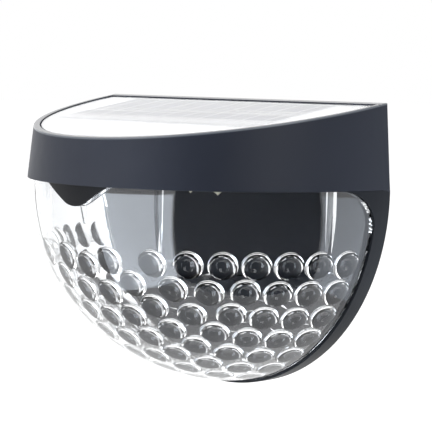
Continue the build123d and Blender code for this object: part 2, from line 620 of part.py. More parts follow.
with BuildPart() as panel_adhesive:
    extrude(panel_outline(POCKET_FLOOR - ADHESIVE, PANEL_GAP), amount=-ADHESIVE)
    extrude(d_segment(RIM, HOOD_TOP_RADIUS - HOOD_RIM - ADHESIVE_WIDTH,
                      PANEL_REAR_RIM + ADHESIVE_WIDTH, STRETCH),
            amount=-LEDGE_BOTTOM, mode=Mode.SUBTRACT)
    # the bead stays clear of the screw heads' wells
    with Locations(*[(x, y, HOOD_SCREW_SEAT) for x, y in HOOD_SCREW_SPOTS]):
        Cylinder(HEAD_RADIUS + FIT, FAR / 4, align=(Align.CENTER, Align.CENTER, Align.MIN),
                 mode=Mode.SUBTRACT)
panel_adhesive.part.label = "panel_adhesive"
export_step(panel_adhesive.part, "parts/panel_adhesive.step")

# ---- battery: one cell in its sleeve, two contact plates and a spring ----
CELL_LEFT = -BAY_HALF_LENGTH + CONTACT          # where the cell's nub touches its contact
CELL_RIGHT = CELL_LEFT + CELL_OVERALL
SPRING_SEAT_X = BAY_HALF_LENGTH - CONTACT
BATTERY_AXIS = Plane(origin=(CELL_LEFT, BAY_Y, BAY_Z), x_dir=(0, 1, 0), z_dir=(1, 0, 0))

with BuildPart() as battery_cell:
    with BuildSketch(BATTERY_AXIS):
        Circle(NUB_RADIUS)
    extrude(amount=CELL_OVERALL)
    with BuildSketch(BATTERY_AXIS.offset(NUB_LENGTH)):
        Circle(CELL_RADIUS - SLEEVE)
    extrude(amount=CELL_OVERALL - NUB_LENGTH)
    chamfer(battery_cell.edges().filter_by(GeomType.CIRCLE).sort_by(Axis.X)[-1], SLEEVE)
battery_cell.part.label = "battery_cell"
export_step(battery_cell.part, "parts/battery_cell.step")

with BuildPart() as battery_sleeve:
    with BuildSketch(BATTERY_AXIS.offset(NUB_LENGTH)):
        Circle(CELL_RADIUS)
        Circle(CELL_RADIUS - SLEEVE, mode=Mode.SUBTRACT)
    extrude(amount=CELL_OVERALL - NUB_LENGTH - 2 * SLEEVE)
battery_sleeve.part.label = "battery_sleeve"
export_step(battery_sleeve.part, "parts/battery_sleeve.step")

with BuildPart() as battery_contacts:
    with Locations((-BAY_HALF_LENGTH + CONTACT / 2, BAY_Y, BAY_Z),
                   (BAY_HALF_LENGTH - CONTACT / 2, BAY_Y, BAY_Z)):
        Box(CONTACT, CONTACT_SIZE, CONTACT_SIZE)
battery_contacts.part.label = "battery_contacts"
export_step(battery_contacts.part, "parts/battery_contacts.step")

with BuildPart() as contact_spring:
    # conical spring squeezed between the cell's flat end and its contact, drawn as its envelope
    with BuildSketch(Plane.XZ.offset(-BAY_Y)):
        with Locations((0, BAY_Z)):
            Polygon((CELL_RIGHT, SPRING_TIP), (CELL_RIGHT, SPRING_TIP - SPRING_WIRE),
                    (SPRING_SEAT_X, SPRING_RADIUS - SPRING_WIRE), (SPRING_SEAT_X, SPRING_RADIUS),
                    align=None)
    revolve(axis=Axis((0, BAY_Y, BAY_Z), (1, 0, 0)))
contact_spring.part.label = "contact_spring"
export_step(contact_spring.part, "parts/contact_spring.step")

with BuildPart() as battery_cover:
    with BuildSketch(Plane.XZ.offset(COVER_SET_BACK)):
        with Locations((0, BAY_Z)):
            RectangleRounded(2 * COVER_HALF_LENGTH, 2 * COVER_HALF_HEIGHT, COVER_CORNER)
    extrude(amount=BACK_WALL - COVER_SET_BACK)
    chamfer(battery_cover.faces().sort_by(Axis.Y)[-1].edges(), EDGE_BREAK)
    with Locations(*[Location((x, -COVER_SET_BACK, z), (-90, 0, 0)) for x, z in COVER_SCREW_SPOTS]):
        CounterSinkHole(SHANK_RADIUS + FIT, HEAD_RADIUS + FIT / 2, depth=BACK_WALL,
                        counter_sink_angle=90)
battery_cover.part.label = "battery_cover"
export_step(battery_cover.part, "parts/battery_cover.step")

with BuildPart() as cover_seal:
    with BuildSketch(Plane.XZ.offset(BACK_WALL)):
        with Locations((0, BAY_Z)):
            RectangleRounded(2 * (BAY_HALF_LENGTH + SEAL_LAND) - FIT,
                             2 * (BAY_HALF_HEIGHT + SEAL_LAND) - FIT, SEAL_LAND)
            RectangleRounded(2 * BAY_HALF_LENGTH + FIT, 2 * BAY_HALF_HEIGHT + FIT, SEAL_LAND / 2,
                             mode=Mode.SUBTRACT)
    extrude(amount=SEAL_DEPTH)
cover_seal.part.label = "cover_seal"
export_step(cover_seal.part, "parts/cover_seal.step")

# ---- slide switch ----
KNOB_X = SWITCH_X - SWITCH_TRAVEL / 2           # off, the travel runs towards +X
STEM_REACH = SWITCH_BODY_Y + STEM_DEPTH

with BuildPart() as switch_body:
    with Locations((SWITCH_X, -SWITCH_BODY_Y, SWITCH_Z)):
        Box(SWITCH_BODY[0], SWITCH_BODY[2], SWITCH_BODY[1],
            align=(Align.CENTER, Align.MAX, Align.CENTER))
        Box(SWITCH_SLOT[0], STEM_DEPTH + 2 * FIT, SWITCH_SLOT[1],
            align=(Align.CENTER, Align.MAX, Align.CENTER), mode=Mode.SUBTRACT)
switch_body.part.label = "switch_body"
export_step(switch_body.part, "parts/switch_body.step")

with BuildPart() as switch_knob:
    with BuildSketch(Plane.XZ.offset(KNOB_SET_BACK)):
        with Locations((KNOB_X, SWITCH_Z)):
            RectangleRounded(*KNOB_PAD, KNOB_CORNER)
    extrude(amount=SWITCH_RECESS - FIT - KNOB_SET_BACK)
    # grip grooves across the pad
    with Locations((KNOB_X, -KNOB_SET_BACK, SWITCH_Z)):
        with GridLocations(GRIP_PITCH, 0, GRIP_COUNT, 1):
            Box(GRIP_PITCH / 2, GRIP_PITCH, KNOB_PAD[1], mode=Mode.SUBTRACT)
    with Locations((KNOB_X, -SWITCH_RECESS + 2 * FIT, SWITCH_Z)):
        Box(KNOB_STEM, STEM_REACH - SWITCH_RECESS + 2 * FIT, KNOB_STEM,
            align=(Align.CENTER, Align.MAX, Align.CENTER))
switch_knob.part.label = "switch_knob"
export_step(switch_knob.part, "parts/switch_knob.step")

# ---- control board with its parts, on the side that faces the front ----
BOARD_FRONT = CONTROL_BOARD_Y + BOARD

with BuildPart() as control_board:
    with BuildSketch(Plane.XZ.offset(CONTROL_BOARD_Y)):
        with Locations((CONTROL_BOARD_X, CONTROL_BOARD_Z)):
            Rectangle(*CONTROL_BOARD)
        with Locations(*BOARD_SCREW_SPOTS):
            Circle(SMALL_SHANK + FIT, mode=Mode.SUBTRACT)
    extrude(amount=BOARD)
control_board.part.label = "control_board"
export_step(control_board.part, "parts/control_board.step")

with BuildPart() as driver_chip:
    with Locations((CONTROL_BOARD_X + CHIP_SPOT[0], -BOARD_FRONT, CONTROL_BOARD_Z + CHIP_SPOT[1])):
        Box(*DRIVER_CHIP, align=(Align.CENTER, Align.MAX, Align.CENTER))
driver_chip.part.label = "driver_chip"
export_step(driver_chip.part, "parts/driver_chip.step")

with BuildPart() as inductor:
    with BuildSketch(Plane.XZ.offset(BOARD_FRONT)):
        with Locations((CONTROL_BOARD_X + INDUCTOR_SPOT[0], CONTROL_BOARD_Z + INDUCTOR_SPOT[1])):
            Circle(INDUCTOR[0])
    extrude(amount=INDUCTOR[1])
    with BuildSketch(Plane.XZ.offset(BOARD_FRONT + INDUCTOR[1] / 4)):
        with Locations((CONTROL_BOARD_X + INDUCTOR_SPOT[0], CONTROL_BOARD_Z + INDUCTOR_SPOT[1])):
            Circle(INDUCTOR[0])
            Circle(INDUCTOR_CORE, mode=Mode.SUBTRACT)
    extrude(amount=INDUCTOR[1] / 2, mode=Mode.SUBTRACT)
inductor.part.label = "inductor"
export_step(inductor.part, "parts/inductor.step")

with BuildPart() as capacitor:
    with BuildSketch(Plane.XZ.offset(BOARD_FRONT)):
        with Locations((CONTROL_BOARD_X + CAPACITOR_SPOT[0], CONTROL_BOARD_Z + CAPACITOR_SPOT[1])):
            Circle(CAPACITOR[0])
    extrude(amount=CAPACITOR[1])
capacitor.part.label = "capacitor"
export_step(capacitor.part, "parts/capacitor.step")

# ---- lamp board and its lamps ----
LED_CURVE = (LED_RADIUS**2 + LED_DOME**2) / (2 * LED_DOME)    # spherical radius of the dome

with BuildPart() as led_board:
    with BuildSketch(Plane.XY.offset(LED_BOARD_Z)):
        with Locations((0, LED_Y)):
            Rectangle(*LED_BOARD)
        with Locations(*LED_SCREW_SPOTS):
            Circle(SMALL_SHANK + FIT, mode=Mode.SUBTRACT)
    extrude(amount=BOARD)
led_board.part.label = "led_board"
export_step(led_board.part, "parts/led_board.step")

with BuildPart() as led:
    # wide-angle lamp: flange on the deck, low dome below it
    with BuildSketch(Plane.XZ):
        with BuildLine():
            RadiusArc((0, -LED_DROP), (LED_RADIUS, LED_DOME - LED_DROP), LED_CURVE)
            Polyline((LED_RADIUS, LED_DOME - LED_DROP), (LED_RADIUS, DECK), (LED_FLANGE[0], DECK),
                     (LED_FLANGE[0], LED_BOARD_Z), (0, LED_BOARD_Z), (0, -LED_DROP))
        make_face()
    revolve(axis=Axis.Z)

with BuildPart() as leds:
    with Locations((0, LED_Y, 0)):
        with GridLocations(LED_PITCH, 0, LED_COUNT, 1):
            add(led.part)
leds.part.label = "leds"
export_step(leds.part, "parts/leds.step")

# ---- screws ----
with BuildPart() as cover_screws:
    with BuildSketch(Plane.XZ.offset(COVER_SET_BACK)):
        with Locations(*COVER_SCREW_SPOTS):
            Circle(SHANK_RADIUS)
    extrude(amount=COVER_SCREW_DEPTH - COVER_SET_BACK - FIT)
    with Locations(*[Location((x, -COVER_SET_BACK, z), (-90, 0, 0)) for x, z in COVER_SCREW_SPOTS]):
        Cone(0, HEAD_RADIUS, HEAD_RADIUS, align=(Align.CENTER, Align.CENTER, Align.MAX))
cover_screws.part.label = "cover_screws"
export_step(cover_screws.part, "parts/cover_screws.step")

with BuildPart() as hood_screws:
    with Locations(*[(x, y, HOOD_SCREW_SEAT) for x, y in HOOD_SCREW_SPOTS]):
        Cylinder(HEAD_RADIUS, HEAD_HEIGHT, align=(Align.CENTER, Align.CENTER, Align.MIN))
        Cylinder(SHANK_RADIUS, HOOD_SCREW_LENGTH, align=(Align.CENTER, Align.CENTER, Align.MAX))
hood_screws.part.label = "hood_screws"
export_step(hood_screws.part, "parts/hood_screws.step")

with BuildPart() as board_screws:
    # two upright in the lamp board, two level in the control board
    with Locations(*[(x, y, LED_BOARD_Z + BOARD) for x, y in LED_SCREW_SPOTS],
                   *[Location((x, -BOARD_FRONT, z), (90, 0, 0)) for x, z in BOARD_SCREW_SPOTS]):
        Cylinder(*SMALL_HEAD, align=(Align.CENTER, Align.CENTER, Align.MIN))
        Cylinder(SMALL_SHANK, SMALL_SCREW_LENGTH, align=(Align.CENTER, Align.CENTER, Align.MAX))
board_screws.part.label = "board_screws"
export_step(board_screws.part, "parts/board_screws.step")

# ---- inner wires: panel to control board, and control board to lamp board ----
def wires(stations, route):
    """Round wires side by side along X, each on the same route of (y, z) points."""
    with BuildPart() as pair:
        for x in stations:
            with BuildLine() as path:
                FilletPolyline(*[(x, y, z) for y, z in route], radius=WIRE_BEND)
            with BuildSketch(Plane(origin=path.line @ 0, z_dir=path.line % 0)):
                Circle(WIRE_RADIUS)
            sweep(path=path.line)
    return pair.part


BOARD_UNDERSIDE = (HOOD_REAR_HEIGHT + RIM_SLOPE * PANEL_WIRE_Y
                   - (POCKET_FLOOR - ADHESIVE) * STRETCH)     # of the panel's board, at the wires

panel_wires = wires(PANEL_WIRES_X, [(-BOARD_FRONT, PANEL_WIRE_Z), (PANEL_WIRE_Y, PANEL_WIRE_Z),
                                    (PANEL_WIRE_Y, BOARD_UNDERSIDE - FIT)])
panel_wires.label = "panel_wires"
export_step(panel_wires, "parts/panel_wires.step")

lamp_wires = wires(LAMP_WIRES_X, [(-BOARD_FRONT, CONTROL_BOARD_Z), (LAMP_WIRE_Y, CONTROL_BOARD_Z),
                                  (LAMP_WIRE_Y, LED_BOARD_Z + BOARD)])
lamp_wires.label = "lamp_wires"
export_step(lamp_wires, "parts/lamp_wires.step")
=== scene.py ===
# Solar fence light: a clear, bumped quarter-sphere lens held between a dark D-shaped hood and its housing.
# Metres, in the part's own frame: the wall is y = 0, the light stands out along -Y, the seam is z = 0.
from math import acos, asin, cos, hypot, radians, sin, sqrt

import bpy
from mathutils import Matrix, Vector
from mathutils.kdtree import KDTree


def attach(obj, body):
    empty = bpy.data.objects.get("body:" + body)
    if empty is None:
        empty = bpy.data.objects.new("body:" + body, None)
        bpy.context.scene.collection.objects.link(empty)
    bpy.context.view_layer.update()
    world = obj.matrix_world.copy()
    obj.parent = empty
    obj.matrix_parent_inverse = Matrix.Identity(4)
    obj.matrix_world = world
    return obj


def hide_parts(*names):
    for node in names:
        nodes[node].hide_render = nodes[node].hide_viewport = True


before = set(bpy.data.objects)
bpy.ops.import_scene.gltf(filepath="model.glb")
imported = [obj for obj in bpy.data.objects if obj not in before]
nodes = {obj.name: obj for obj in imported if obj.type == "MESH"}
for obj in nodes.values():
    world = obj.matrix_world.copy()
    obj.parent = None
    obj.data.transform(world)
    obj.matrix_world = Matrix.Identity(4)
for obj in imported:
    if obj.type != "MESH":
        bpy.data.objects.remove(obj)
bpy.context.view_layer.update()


# ---- hood ----
# Injection-moulded in charcoal ABS with a fine spark-eroded grain; the rim's top is glossier where
# polished, and its outer edge is lightened and glossier as a painted highlight. Four screws under the
# solar panel hold it to the lamp tray.
def new_material(name):
    """An empty node material with its output and one Principled shader."""
    mat = bpy.data.materials.new(name)
    mat.use_nodes = True
    tree = mat.node_tree
    shader = tree.nodes["Principled BSDF"]
    return mat, tree, shader


def node(tree, kind, **values):
    """Adds a node; names that are sockets are set on its inputs, the others on the node."""
    made = tree.nodes.new(kind)
    for key, value in values.items():
        if hasattr(made, key):
            setattr(made, key, value)
        else:
            made.inputs[key.replace("_", " ")].default_value = value
    return made


def moulded_grain_group():
    """Fine grain and slow unevenness of a moulded plastic skin."""
    group = bpy.data.node_groups.new("moulded_grain", "ShaderNodeTree")
    face = group.interface
    face.new_socket("Grain", in_out="INPUT", socket_type="NodeSocketFloat").default_value = 2600.0
    face.new_socket("Drift", in_out="INPUT", socket_type="NodeSocketFloat").default_value = 45.0
    face.new_socket("Height", in_out="OUTPUT", socket_type="NodeSocketFloat")
    face.new_socket("Unevenness", in_out="OUTPUT", socket_type="NodeSocketFloat")
    start = group.nodes.new("NodeGroupInput")
    end = group.nodes.new("NodeGroupOutput")
    place = group.nodes.new("ShaderNodeTexCoord")
    pits = node(group, "ShaderNodeTexVoronoi", feature="SMOOTH_F1")
    skin = node(group, "ShaderNodeTexNoise", Detail=3.0)
    slow = node(group, "ShaderNodeTexNoise", Detail=2.0)
    both = node(group, "ShaderNodeMath", operation="MULTIPLY")
    for texture, scale in ((pits, "Grain"), (skin, "Grain"), (slow, "Drift")):
        group.links.new(place.outputs["Object"], texture.inputs["Vector"])
        group.links.new(start.outputs[scale], texture.inputs["Scale"])
    group.links.new(pits.outputs["Distance"], both.inputs[0])
    group.links.new(skin.outputs["Fac"], both.inputs[1])
    group.links.new(both.outputs["Value"], end.inputs["Height"])
    group.links.new(slow.outputs["Fac"], end.inputs["Unevenness"])
    return group


GRAIN = moulded_grain_group()
SKIN_GLOSSIER = 0.05
SKIN_DULLER = 0.07


def drift_colour(tree, dark, light, share, shader):
    """Lets the shader's colour drift between two shades, by the share that a socket gives."""
    shade = node(tree, "ShaderNodeMix", data_type="RGBA")
    shade.inputs["A"].default_value = (*dark, 1)
    shade.inputs["B"].default_value = (*light, 1)
    tree.links.new(share, shade.inputs["Factor"])
    tree.links.new(shade.outputs["Result"], shader.inputs["Base Color"])


def drift_gloss(tree, low, high, share, shader):
    """Lets the shader's roughness drift between two values, by the share that a socket gives."""
    gloss = node(tree, "ShaderNodeMapRange")
    gloss.inputs["To Min"].default_value = low
    gloss.inputs["To Max"].default_value = high
    tree.links.new(share, gloss.inputs["Value"])
    tree.links.new(gloss.outputs["Result"], shader.inputs["Roughness"])


def moulded_plastic(name, dark, light, rough, grain=2600.0, depth=0.00004, strength=0.35, shine=0.5):
    """Moulded plastic between two shades, with grain in its gloss and its surface."""
    mat, tree, shader = new_material(name)
    shader.inputs["Specular IOR Level"].default_value = shine
    skin = node(tree, "ShaderNodeGroup", node_tree=GRAIN)
    skin.inputs["Grain"].default_value = grain
    drift_colour(tree, dark, light, skin.outputs["Unevenness"], shader)
    drift_gloss(tree, rough - SKIN_GLOSSIER, rough + SKIN_DULLER, skin.outputs["Unevenness"], shader)
    bump = node(tree, "ShaderNodeBump", Strength=strength, Distance=depth)
    tree.links.new(skin.outputs["Height"], bump.inputs["Height"])
    tree.links.new(bump.outputs["Normal"], shader.inputs["Normal"])
    return mat


def finish_node(name, mat):
    """Gives a carried-over CAD piece its finish."""
    data = nodes[name].data
    if not data.materials:
        data.materials.append(mat)
    for slot in nodes[name].material_slots:
        slot.material = mat


HOOD_DARK = (0.007, 0.011, 0.023)
HOOD_LIGHT = (0.013, 0.018, 0.034)
hood_plastic = moulded_plastic("hood_grained_plastic", HOOD_DARK, HOOD_LIGHT, rough=0.50, shine=0.35)
HOOD_BACK_HEIGHT = 0.02375
HOOD_FRONT_HEIGHT = 0.01315
HOOD_DEPTH = 0.0613
HOOD_SLOPE = (HOOD_BACK_HEIGHT - HOOD_FRONT_HEIGHT) / HOOD_DEPTH
HOOD_TOP_RADIUS = 0.0583
HOOD_FOOT_RADIUS = 0.060
HOOD_EDGE = 0.00022
MIDDLE_Y = -0.003
RIM_WIDTH = 0.0018
BACK_RIM = 0.0024
# colour and share of the painted highlight along the rim's outer edge
RIM_HIGHLIGHT_COLOUR = (0.20, 0.22, 0.25)
RIM_HIGHLIGHT_SHARE = 0.7
RIM_ROUGHNESS = 0.22
# how far below the rim's top, or inside its outer edge, the polish and the painted highlight start and are
# full
POLISH_BELOW_TOP = (0.0003, 0.00005)
HIGHLIGHT_AND_GLOSS_BELOW_TOP = (0.0006, 0.0003)
HIGHLIGHT_AND_GLOSS_INSIDE_EDGE = (0.0004, 0.0001)


def polish_rim_and_paint_edge_highlight(mat):
    """Makes the rim's top face glossier, and lightens and glosses its outer edge as a painted highlight.
    """
    tree = mat.node_tree
    shader = tree.nodes["Principled BSDF"]
    place = tree.nodes.new("ShaderNodeTexCoord")
    split = tree.nodes.new("ShaderNodeSeparateXYZ")
    tree.links.new(place.outputs["Object"], split.inputs["Vector"])

    def worked(operation, first, second):
        made = node(tree, "ShaderNodeMath", operation=operation)
        for number, value in enumerate((first, second)):
            if isinstance(value, float):
                made.inputs[number].default_value = value
            else:
                tree.links.new(value, made.inputs[number])
        return made.outputs["Value"]

    def rising(value, limit, start, full):
        made = node(tree, "ShaderNodeMapRange")
        made.inputs["From Min"].default_value = limit - start
        made.inputs["From Max"].default_value = limit - full
        tree.links.new(value, made.inputs["Value"])
        return made.outputs["Result"]

    height = worked("SUBTRACT", split.outputs["Z"], worked("MULTIPLY", split.outputs["Y"], HOOD_SLOPE))
    on_rim = rising(height, HOOD_BACK_HEIGHT, *POLISH_BELOW_TOP)
    ahead = worked("MINIMUM", worked("SUBTRACT", split.outputs["Y"], MIDDLE_Y), 0.0)
    flat = tree.nodes.new("ShaderNodeCombineXYZ")
    tree.links.new(split.outputs["X"], flat.inputs["X"])
    tree.links.new(ahead, flat.inputs["Y"])
    reach = node(tree, "ShaderNodeVectorMath", operation="LENGTH")
    tree.links.new(flat.outputs["Vector"], reach.inputs[0])
    high_up = rising(height, HOOD_BACK_HEIGHT, *HIGHLIGHT_AND_GLOSS_BELOW_TOP)
    far_out = rising(reach.outputs["Value"], HOOD_TOP_RADIUS, *HIGHLIGHT_AND_GLOSS_INSIDE_EDGE)
    edge_highlight_and_gloss = worked("MULTIPLY", high_up, far_out)

    # painted highlight: the colour is lightened along the rim's outer edge, where the rounded edge would
    # catch light
    painted_highlight = node(tree, "ShaderNodeMix", data_type="RGBA")
    painted_highlight.inputs["B"].default_value = (*RIM_HIGHLIGHT_COLOUR, 1)
    smoother = node(tree, "ShaderNodeMix")
    smoother.inputs["B"].default_value = RIM_ROUGHNESS
    for mix, look, share in ((painted_highlight, "Base Color", worked("MULTIPLY", edge_highlight_and_gloss, RIM_HIGHLIGHT_SHARE)),
                             (smoother, "Roughness", worked("MAXIMUM", on_rim, edge_highlight_and_gloss))):
        tree.links.new(share, mix.inputs["Factor"])
        tree.links.new(shader.inputs[look].links[0].from_socket, mix.inputs["A"])
        tree.links.new(mix.outputs["Result"], shader.inputs[look])


polish_rim_and_paint_edge_highlight(hood_plastic)


def merged_copy(name, source):
    """A copy of a CAD piece as one closed skin, selected and active, ready for edit mode."""
    made = bpy.data.objects.new(name, nodes[source].data.copy())
    bpy.context.scene.collection.objects.link(made)
    bpy.ops.object.select_all(action="DESELECT")
    made.select_set(True)
    bpy.context.view_layer.objects.active = made
    bpy.ops.mesh.customdata_custom_splitnormals_clear()
    bpy.ops.object.mode_set(mode="EDIT")
    bpy.ops.mesh.select_all(action="SELECT")
    bpy.ops.mesh.remove_doubles(threshold=0.000001)
    bpy.ops.mesh.select_all(action="DESELECT")
    bpy.ops.object.mode_set(mode="OBJECT")
    return made


SOFT_ANGLE = radians(32)


def round_edges(made, radius, segments):
    """Rounds the selected edges, then shades smooth while large flat faces keep their direction."""
    bpy.ops.mesh.bevel(offset=radius, segments=segments, affect="EDGES", clamp_overlap=False)
    bpy.ops.mesh.select_all(action="DESELECT")
    bpy.ops.object.mode_set(mode="OBJECT")
    bpy.ops.object.shade_smooth_by_angle(angle=SOFT_ANGLE)
    flat_first = made.modifiers.new("flat faces first", "WEIGHTED_NORMAL")
    flat_first.keep_sharp = True
    bpy.ops.object.modifier_apply(modifier=flat_first.name)


# how near a corner has to be to count as on a level plane, on the slope, on a curve, on the back rim
NEAR_PLANE = 0.00001
NEAR_SLOPE = 0.00002
NEAR_CURVE = 0.00003
NEAR_BACK_RIM = 0.00008


def d_reach(place):
    """How far a place is from the middle of the D outline, square to its outline."""
    return abs(place.x) if place.y > MIDDLE_Y else hypot(place.x, place.y - MIDDLE_Y)


def on_hood_edge(place):
    """True on the rim's inner and outer edges and on the edge at the seam."""
    reach = d_reach(place)
    if abs(place.z - HOOD_BACK_HEIGHT - HOOD_SLOPE * place.y) < NEAR_SLOPE:
        outer = abs(reach - HOOD_TOP_RADIUS) < NEAR_CURVE or abs(place.y) < NEAR_PLANE
        inner_curve = abs(reach - HOOD_TOP_RADIUS + RIM_WIDTH) < NEAR_CURVE
        return outer or inner_curve or abs(place.y + BACK_RIM) < NEAR_BACK_RIM
    return abs(place.z) < NEAR_PLANE and abs(reach - HOOD_FOOT_RADIUS) < NEAR_CURVE


hood = merged_copy("hood_moulding", "hood")
for edge in hood.data.edges:
    ends = [hood.data.vertices[index].co for index in edge.vertices]
    edge.select = all(on_hood_edge(end) for end in ends) and on_hood_edge((ends[0] + ends[1]) / 2)
bpy.ops.object.mode_set(mode="EDIT")
round_edges(hood, HOOD_EDGE, segments=3)
hood.data.materials.clear()
hood.data.materials.append(hood_plastic)
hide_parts("hood")
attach(hood, "light")

# ---- housing ----
# The back shell and back wall, moulded in the same charcoal plastic but smoother than the hood.
# It shows as the rim behind the lens and, dimly, through it; the wall side carries all openings.
HOUSING_DARK = (0.010, 0.012, 0.017)
HOUSING_LIGHT = (0.016, 0.019, 0.025)
housing_plastic = moulded_plastic("housing_satin_plastic", HOUSING_DARK, HOUSING_LIGHT, rough=0.42,
                                  grain=3200.0, strength=0.2, shine=0.12)
finish_node("housing", housing_plastic)

# ---- lamp tray ----
# The floor between the lamps' room and the electronics, clamped between hood and housing. Its front
# tab hangs down over the lens and is polished, so it is darker and glossier than its neighbours.
TRAY_DARK = (0.004, 0.005, 0.007)
TRAY_LIGHT = (0.007, 0.008, 0.011)
tray_plastic = moulded_plastic("tray_polished_plastic", TRAY_DARK, TRAY_LIGHT, rough=0.30,
                               grain=3200.0, strength=0.08, shine=0.12)
finish_node("lamp_tray", tray_plastic)

# ---- battery cover and the seals ----
# A flat screwed plate over the battery's way in, moulded with the housing's finish, on a soft
# black sponge seal in a groove round the opening. The hood presses on a like seal on the tray's edge.
SPONGE_DARK = (0.012, 0.012, 0.012)
SPONGE_LIGHT = (0.022, 0.022, 0.022)
cover_plastic = moulded_plastic("cover_plastic", HOUSING_DARK, HOUSING_LIGHT, rough=0.40, grain=2400.0)
finish_node("battery_cover", cover_plastic)
seal_rubber = moulded_plastic("seal_rubber", SPONGE_DARK, SPONGE_LIGHT, rough=0.75, grain=4200.0,
                              strength=0.5)
finish_node("cover_seal", seal_rubber)
finish_node("perimeter_seal", seal_rubber)

# ---- lens ----
# Clear acrylic, polished outside and moulded with rings of domes inside, so that it bends what lies
# behind it. One tongue stands between the hood and the lamp tray, one in a groove of the housing.
LENS_IOR = 1.49
SMEAR_ROUGHNESS = 0.05
CLEAR_TO_LAMPS = (0.92, 0.92, 0.92, 1)


def clear_plastic(name, tint, rough, ior):
    """Clear plastic that bends light, and lets the lamps' light through to what is behind it."""
    mat, tree, shader = new_material(name)
    shader.inputs["Base Color"].default_value = (*tint, 1)
    shader.inputs["IOR"].default_value = ior
    shader.inputs["Transmission Weight"].default_value = 1.0
    place = tree.nodes.new("ShaderNodeTexCoord")
    smear = node(tree, "ShaderNodeTexNoise", Scale=60.0, Detail=4.0)
    path = tree.nodes.new("ShaderNodeLightPath")
    through = node(tree, "ShaderNodeBsdfTransparent", Color=CLEAR_TO_LAMPS)
    either = tree.nodes.new("ShaderNodeMixShader")
    tree.links.new(place.outputs["Object"], smear.inputs["Vector"])
    drift_gloss(tree, rough, rough + SMEAR_ROUGHNESS, smear.outputs["Fac"], shader)
    tree.links.new(path.outputs["Is Shadow Ray"], either.inputs[0])
    tree.links.new(shader.outputs["BSDF"], either.inputs[1])
    tree.links.new(through.outputs["BSDF"], either.inputs[2])
    tree.links.new(either.outputs["Shader"], tree.nodes["Material Output"].inputs["Surface"])
    return mat


lens_clear = clear_plastic("lens_clear", (0.98, 0.99, 1.0), rough=0.0, ior=LENS_IOR)
LENS_CENTRE = Vector((0, MIDDLE_Y, 0))
LENS_OUTER = 0.0592
LENS_INNER = 0.0572
LENS_SOFT_ANGLE = radians(30)
BUMP_FOOT = 0.00415
BUMP_CURVE = 0.0050
BUMP_ROWS = (3, 6, 9, 11, 14, 15, 16, 17)
BUMP_TOP = 0.020
BUMP_FIRST_DROP = 0.02189
BUMP_FIRST = asin(BUMP_FIRST_DROP / LENS_INNER)
BUMP_LAST = radians(82.49)
BUMP_LEVEL = sqrt(LENS_INNER**2 - BUMP_FOOT**2)
BUMP_CENTRE = BUMP_LEVEL + sqrt(BUMP_CURVE**2 - BUMP_FOOT**2)
# a dome's faces lie between SHELL_START and the inner sphere less DOME_CLEAR; beyond RING_SHARE of
# the foot's radius a corner is on the ring round the dome
SHELL_START = 0.05
DOME_CLEAR = 0.000012
RING_SHARE = 0.985
ON_SPHERE = 0.00002
SAME_SIDE = 0.8

bump_axes = KDTree(sum(BUMP_ROWS))
for ring, count in enumerate(BUMP_ROWS):
    polar = BUMP_FIRST + ring * (BUMP_LAST - BUMP_FIRST) / (len(BUMP_ROWS) - 1)
    swing = acos(BUMP_TOP / (LENS_INNER * sin(polar)))
    for bump in range(count):
        turn = -swing + 2 * swing * bump / (count - 1)
        axis = Vector((sin(polar) * sin(turn), -cos(polar), -sin(polar) * cos(turn)))
        bump_axes.insert(axis, sum(BUMP_ROWS[:ring]) + bump)
bump_axes.balance()


def on_bump(place):
    """The nearest bump's axis, with how far the place is along it and away from it."""
    out = place - LENS_CENTRE
    axis = bump_axes.find(out.normalized())[0].normalized()
    along = out.dot(axis)
    return axis, along, (out - along * axis).length


lens = merged_copy("clear_lens", "lens")
for face in lens.data.polygons:
    along, away = on_bump(face.center)[1:]
    inside = along < sqrt(LENS_INNER**2 - away**2) - DOME_CLEAR
    face.select = away < BUMP_FOOT and SHELL_START < along and inside
bpy.ops.object.mode_set(mode="EDIT")
bpy.ops.mesh.subdivide(number_cuts=1)
bpy.ops.object.mode_set(mode="OBJECT")
dome_faces = {face.index for face in lens.data.polygons if face.select}
dome_points = {index for number in dome_faces for index in lens.data.polygons[number].vertices}
for index in dome_points:
    vertex = lens.data.vertices[index]
    axis, along, away = on_bump(vertex.co)
    side = vertex.co - LENS_CENTRE - along * axis
    if away > RING_SHARE * BUMP_FOOT:
        side, along = side * BUMP_FOOT / away, BUMP_LEVEL
    else:
        along = BUMP_CENTRE - sqrt(BUMP_CURVE**2 - away**2)
    vertex.co = LENS_CENTRE + along * axis + side
bpy.ops.object.shade_smooth_by_angle(angle=LENS_SOFT_ANGLE)

# true normals, so that the lens bends light as a polished sphere does and not as facets
lens.data.update()
normals = [corner.vector.copy() for corner in lens.data.corner_normals]
for face in lens.data.polygons:
    places = [lens.data.vertices[index].co for index in face.vertices]
    reach = [(place - LENS_CENTRE).length for place in places]
    if face.index in dome_faces:
        centre = LENS_CENTRE + BUMP_CENTRE * on_bump(face.center)[0]
        true = [(place - centre).normalized() for place in places]
    elif all(abs(far - LENS_OUTER) < ON_SPHERE for far in reach):
        true = [(place - LENS_CENTRE).normalized() for place in places]
    elif all(abs(far - LENS_INNER) < ON_SPHERE for far in reach):
        true = [(LENS_CENTRE - place).normalized() for place in places]
    else:
        continue
    if true[0].dot(face.normal) > SAME_SIDE:
        normals[face.loop_start:face.loop_start + face.loop_total] = true
lens.data.normals_split_custom_set(normals)
lens.data.materials.clear()
lens.data.materials.append(lens_clear)
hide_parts("lens")
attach(lens, "light")

